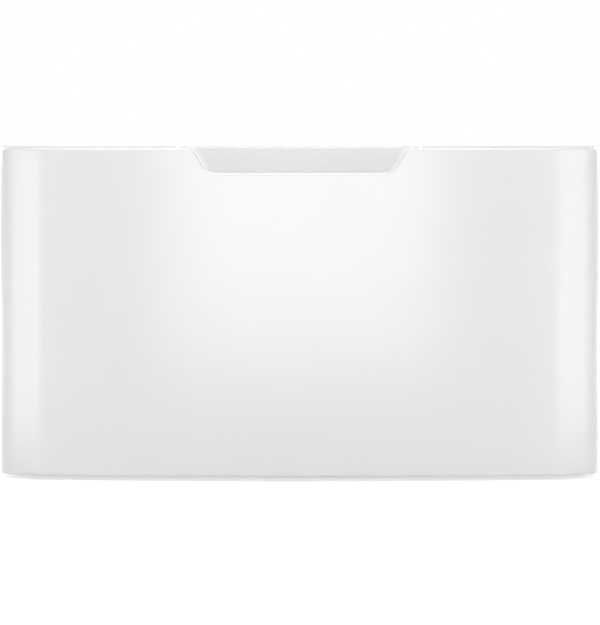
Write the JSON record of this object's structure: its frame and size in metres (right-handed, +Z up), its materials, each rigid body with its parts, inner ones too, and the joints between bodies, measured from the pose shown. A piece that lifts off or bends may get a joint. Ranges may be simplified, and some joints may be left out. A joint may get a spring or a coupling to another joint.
{
  "type": "laundry pedestal",
  "caption": "Low white laundry pedestal: a sheet-steel base with levelling legs and a bowed drawer front with a recessed top grip, on telescopic ball slides.",
  "frame": {"origin": "on the floor, under the middle of the bounding box", "axes": "+Z up, the drawer opens along -Y, +X to the right as seen from the front"},
  "size_m": [0.686, 0.6839, 0.381],
  "materials": {
    "moulded_front_white": "gloss",
    "enamelled_steel_white": "gloss enamel",
    "powder_coated_steel_white": "satin powder coat",
    "galvanised_steel": "galvanised",
    "slide_steel": "bright zinc, cold rolled",
    "zinc_plated_steel": "bright zinc",
    "bearing_steel": "polished",
    "lever_nylon": "moulded",
    "foot_rubber": "moulded rubber",
    "bumper_elastomer": "translucent elastomer"
  },
  "bodies": {
    "cabinet": {"top_deck": "enamelled_steel_white", "right_side_panel": "enamelled_steel_white", "left_side_panel": "enamelled_steel_white", "rear_panel": "galvanised_steel", "rear_panel_screws": "zinc_plated_steel", "front_base_rail": "galvanised_steel", "rear_base_rail": "galvanised_steel", "front_deck_brace": "galvanised_steel", "rear_deck_brace": "galvanised_steel", "right_slide_bracket": "galvanised_steel", "left_slide_bracket": "galvanised_steel", "right_slide_cabinet_member": "slide_steel", "left_slide_cabinet_member": "slide_steel", "slide_rivets": "zinc_plated_steel", "front_bumpers": "bumper_elastomer", "leg_weld_nuts": "zinc_plated_steel", "leg_lock_nuts": "zinc_plated_steel"},
    "drawer": {"drawer_front_panel": "moulded_front_white", "drawer_front_liner": "powder_coated_steel_white", "grip_insert": "moulded_front_white", "drawer_floor": "powder_coated_steel_white", "right_drawer_side": "powder_coated_steel_white", "left_drawer_side": "powder_coated_steel_white", "drawer_back": "powder_coated_steel_white", "drawer_liner_screws": "zinc_plated_steel", "drawer_box_screws": "zinc_plated_steel", "slide_screws": "zinc_plated_steel", "right_slide_drawer_member": "slide_steel", "left_slide_drawer_member": "slide_steel", "right_slide_lever_pin": "zinc_plated_steel", "left_slide_lever_pin": "zinc_plated_steel"},
    "right_middle_member": {"right_slide_middle_member": "slide_steel"},
    "right_outer_cage": {"right_slide_outer_cage": "slide_steel", "right_slide_outer_balls": "bearing_steel"},
    "right_inner_cage": {"right_slide_inner_cage": "slide_steel", "right_slide_inner_balls": "bearing_steel"},
    "right_lever": {"right_slide_release_lever": "lever_nylon"},
    "left_middle_member": {"left_slide_middle_member": "slide_steel"},
    "left_outer_cage": {"left_slide_outer_cage": "slide_steel", "left_slide_outer_balls": "bearing_steel"},
    "left_inner_cage": {"left_slide_inner_cage": "slide_steel", "left_slide_inner_balls": "bearing_steel"},
    "left_lever": {"left_slide_release_lever": "lever_nylon"},
    "front_left_leg": {"front_left_leg_stem": "zinc_plated_steel", "front_left_leg_pad": "foot_rubber"},
    "front_right_leg": {"front_right_leg_stem": "zinc_plated_steel", "front_right_leg_pad": "foot_rubber"},
    "rear_left_leg": {"rear_left_leg_stem": "zinc_plated_steel", "rear_left_leg_pad": "foot_rubber"},
    "rear_right_leg": {"rear_right_leg_stem": "zinc_plated_steel", "rear_right_leg_pad": "foot_rubber"}
  },
  "joints": [
    {"name": "drawer_slide", "type": "slide", "parent": "cabinet", "child": "drawer", "axis": [0, -1, 0], "range_m": [0, 0.5]},
    {"name": "right_middle_member_slide", "type": "slide", "parent": "cabinet", "child": "right_middle_member", "axis": [0, -1, 0], "range_m": [0, 0.25]},
    {"name": "right_outer_cage_slide", "type": "slide", "parent": "cabinet", "child": "right_outer_cage", "axis": [0, -1, 0], "range_m": [0, 0.125]},
    {"name": "right_inner_cage_slide", "type": "slide", "parent": "cabinet", "child": "right_inner_cage", "axis": [0, -1, 0], "range_m": [0, 0.375]},
    {"name": "right_lever_hinge", "type": "hinge", "parent": "drawer", "child": "right_lever", "pos_m": [0.29275, -0.055, 0.185], "axis": [1, 0, 0], "range_deg": [-7, 7], "stiffness_Nm_per_rad": 0.3},
    {"name": "left_middle_member_slide", "type": "slide", "parent": "cabinet", "child": "left_middle_member", "axis": [0, -1, 0], "range_m": [0, 0.25]},
    {"name": "left_outer_cage_slide", "type": "slide", "parent": "cabinet", "child": "left_outer_cage", "axis": [0, -1, 0], "range_m": [0, 0.125]},
    {"name": "left_inner_cage_slide", "type": "slide", "parent": "cabinet", "child": "left_inner_cage", "axis": [0, -1, 0], "range_m": [0, 0.375]},
    {"name": "left_lever_hinge", "type": "hinge", "parent": "drawer", "child": "left_lever", "pos_m": [-0.29275, -0.055, 0.185], "axis": [1, 0, 0], "range_deg": [-7, 7], "stiffness_Nm_per_rad": 0.3},
    {"name": "front_left_leg_screw", "type": "slide", "parent": "cabinet", "child": "front_left_leg", "axis": [0, 0, -1], "range_m": [0, 0.022]},
    {"name": "front_right_leg_screw", "type": "slide", "parent": "cabinet", "child": "front_right_leg", "axis": [0, 0, -1], "range_m": [0, 0.022]},
    {"name": "rear_left_leg_screw", "type": "slide", "parent": "cabinet", "child": "rear_left_leg", "axis": [0, 0, -1], "range_m": [0, 0.022]},
    {"name": "rear_right_leg_screw", "type": "slide", "parent": "cabinet", "child": "rear_right_leg", "axis": [0, 0, -1], "range_m": [0, 0.022]}
  ],
  "couplings": [
    {"joint": "right_middle_member_slide", "follows": "drawer_slide", "ratio": 0.5},
    {"joint": "right_outer_cage_slide", "follows": "drawer_slide", "ratio": 0.25},
    {"joint": "right_inner_cage_slide", "follows": "drawer_slide", "ratio": 0.75},
    {"joint": "left_middle_member_slide", "follows": "drawer_slide", "ratio": 0.5},
    {"joint": "left_outer_cage_slide", "follows": "drawer_slide", "ratio": 0.25},
    {"joint": "left_inner_cage_slide", "follows": "drawer_slide", "ratio": 0.75}
  ]
}
